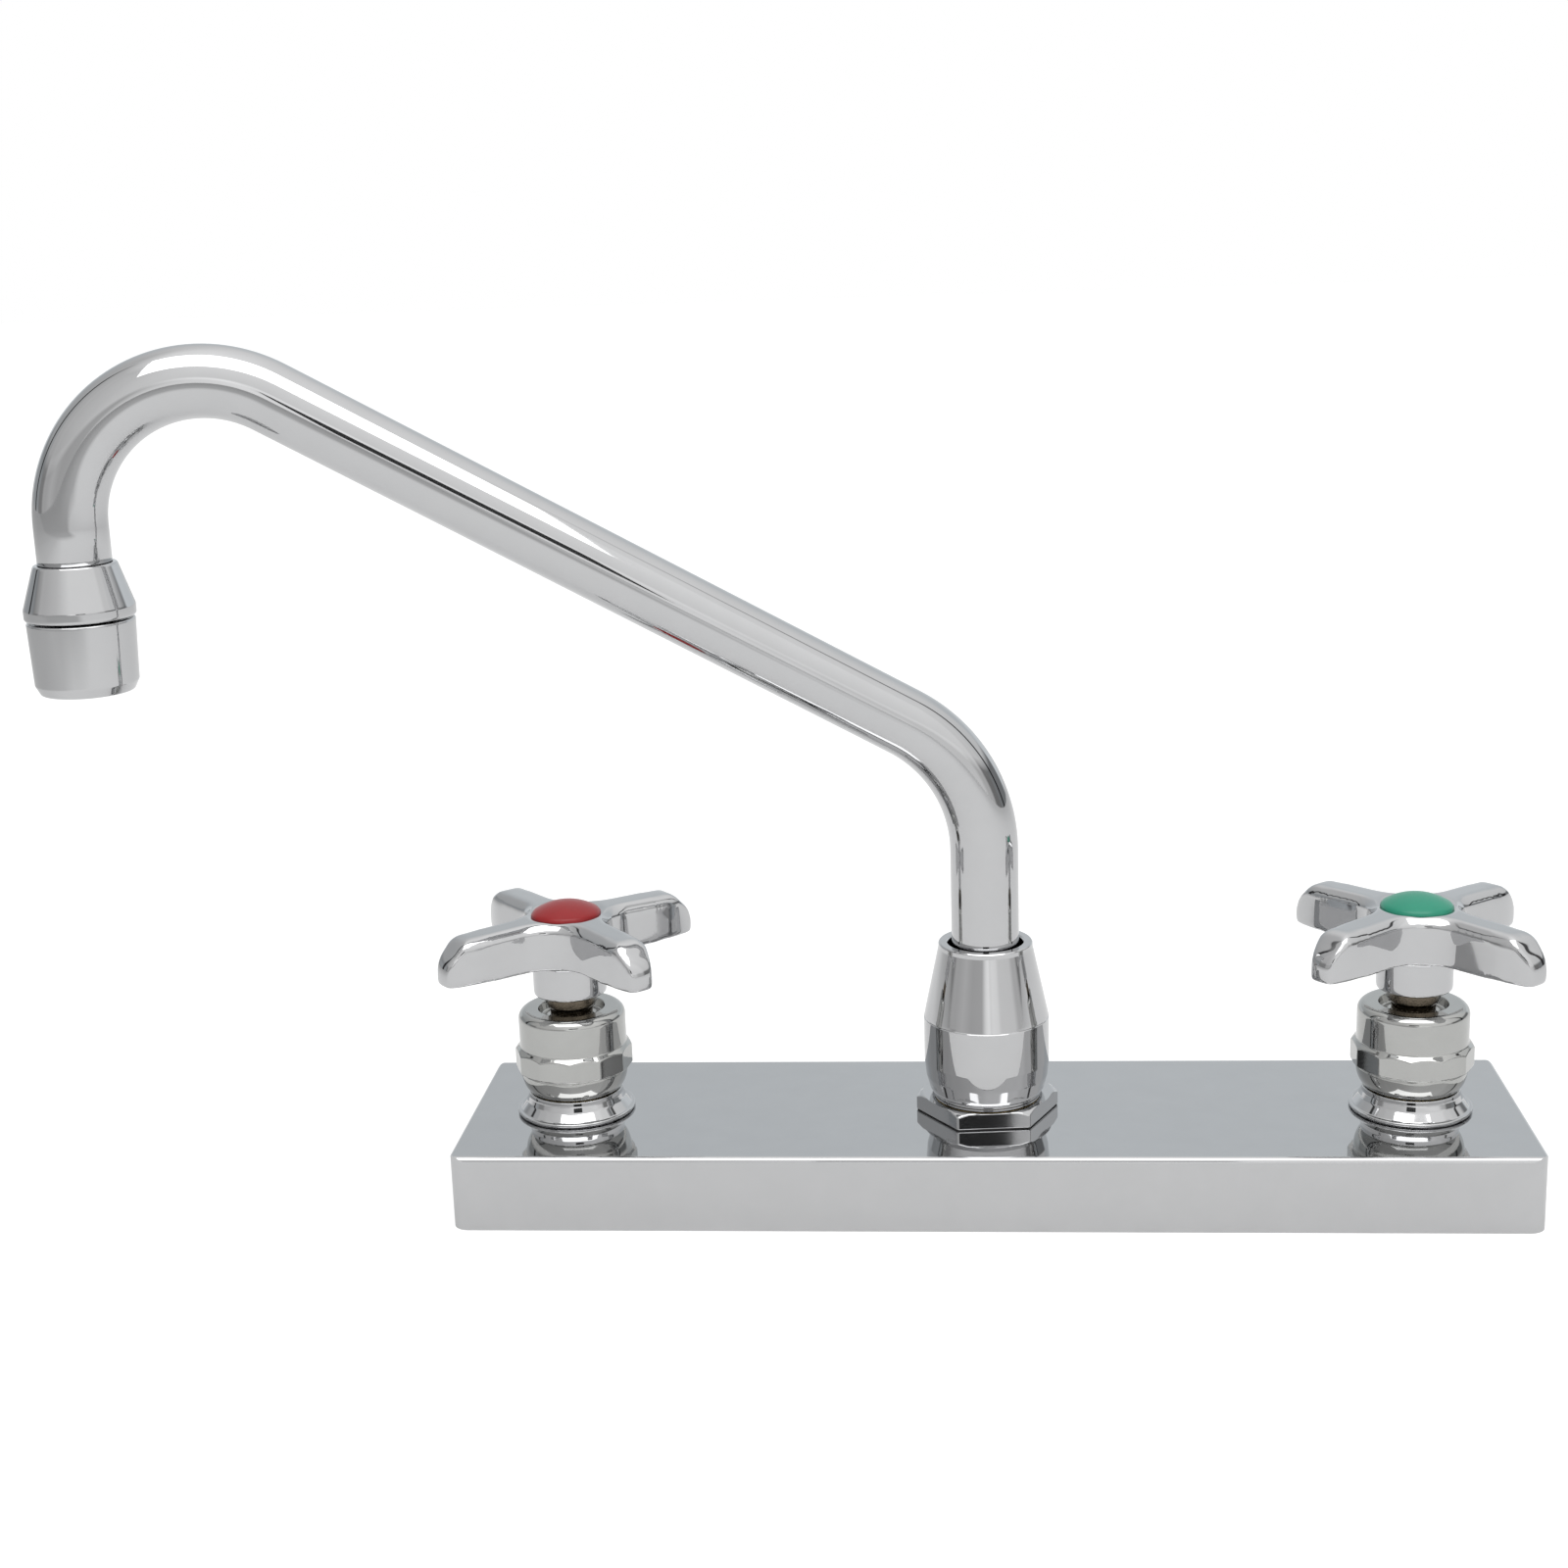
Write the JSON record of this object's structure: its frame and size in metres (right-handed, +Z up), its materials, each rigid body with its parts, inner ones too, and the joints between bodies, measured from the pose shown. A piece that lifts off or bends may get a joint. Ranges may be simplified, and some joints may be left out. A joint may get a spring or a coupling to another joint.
{
  "type": "deck-mount faucet",
  "caption": "Deck-mount kitchen faucet: a box cover with two four-arm handles on quarter-turn valves and a gooseneck spout that swings on a post.",
  "frame": {"origin": "on the deck plane, midway between the two shanks and under the centre post", "axes": "+X from the hot valve toward the cold valve, -Y toward the user, +Z up"},
  "size_m": [0.3447, 0.078, 0.2589],
  "materials": {
    "chrome_plate": "polished chrome plate",
    "rough_brass": "as cast and turned brass",
    "stem_brass": "dull dark brass",
    "copper_tube": "drawn copper",
    "ceramic": "lapped ceramic",
    "black_rubber": "matt",
    "red_fibre": "pressed fibre",
    "stainless": "stamped stainless steel",
    "white_nylon": "moulded",
    "red_button": "glossy",
    "green_button": "glossy"
  },
  "bodies": {
    "root": {"cover": "chrome_plate", "base_gasket": "black_rubber", "spout_body": "rough_brass", "post_locknut": "chrome_plate", "spout_nut": "chrome_plate", "spout_bearing": "white_nylon", "hot_valve_body": "rough_brass", "cold_valve_body": "rough_brass", "hot_cross_tube": "copper_tube", "cold_cross_tube": "copper_tube", "hot_flange_nut": "chrome_plate", "cold_flange_nut": "chrome_plate", "hot_bonnet": "chrome_plate", "cold_bonnet": "chrome_plate", "hot_bonnet_washer": "red_fibre", "cold_bonnet_washer": "red_fibre", "hot_cartridge": "rough_brass", "cold_cartridge": "rough_brass", "hot_cartridge_seal": "black_rubber", "cold_cartridge_seal": "black_rubber", "hot_fixed_disc": "ceramic", "cold_fixed_disc": "ceramic", "hot_rubber_washer": "black_rubber", "cold_rubber_washer": "black_rubber", "hot_steel_washer": "stainless", "cold_steel_washer": "stainless", "hot_shank_nut": "rough_brass", "cold_shank_nut": "rough_brass"},
    "spout": {"spout_tube": "chrome_plate", "spout_bush": "rough_brass", "spout_seals": "black_rubber", "outlet_collar": "chrome_plate", "aerator_shell": "chrome_plate", "aerator_washer": "black_rubber", "aerator_insert": "white_nylon", "aerator_screen": "stainless"},
    "hot_valve": {"hot_handle": "chrome_plate", "hot_handle_screw": "stainless", "hot_button": "red_button", "hot_stem": "stem_brass", "hot_stem_seal": "black_rubber", "hot_stem_clip": "stainless", "hot_turning_disc": "ceramic"},
    "cold_valve": {"cold_handle": "chrome_plate", "cold_handle_screw": "stainless", "cold_button": "green_button", "cold_stem": "stem_brass", "cold_stem_seal": "black_rubber", "cold_stem_clip": "stainless", "cold_turning_disc": "ceramic"}
  },
  "joints": [
    {"name": "spout_swing", "type": "hinge", "parent": "root", "child": "spout", "pos_m": [0, 0, 0.06], "axis": [0, 0, 1], "continuous": true},
    {"name": "hot_handle_turn", "type": "hinge", "parent": "root", "child": "hot_valve", "pos_m": [-0.1016, 0, 0.05], "axis": [0, 0, 1], "range_deg": [0, 90]},
    {"name": "cold_handle_turn", "type": "hinge", "parent": "root", "child": "cold_valve", "pos_m": [0.1016, 0, 0.05], "axis": [0, 0, 1], "range_deg": [-90, 0]}
  ]
}
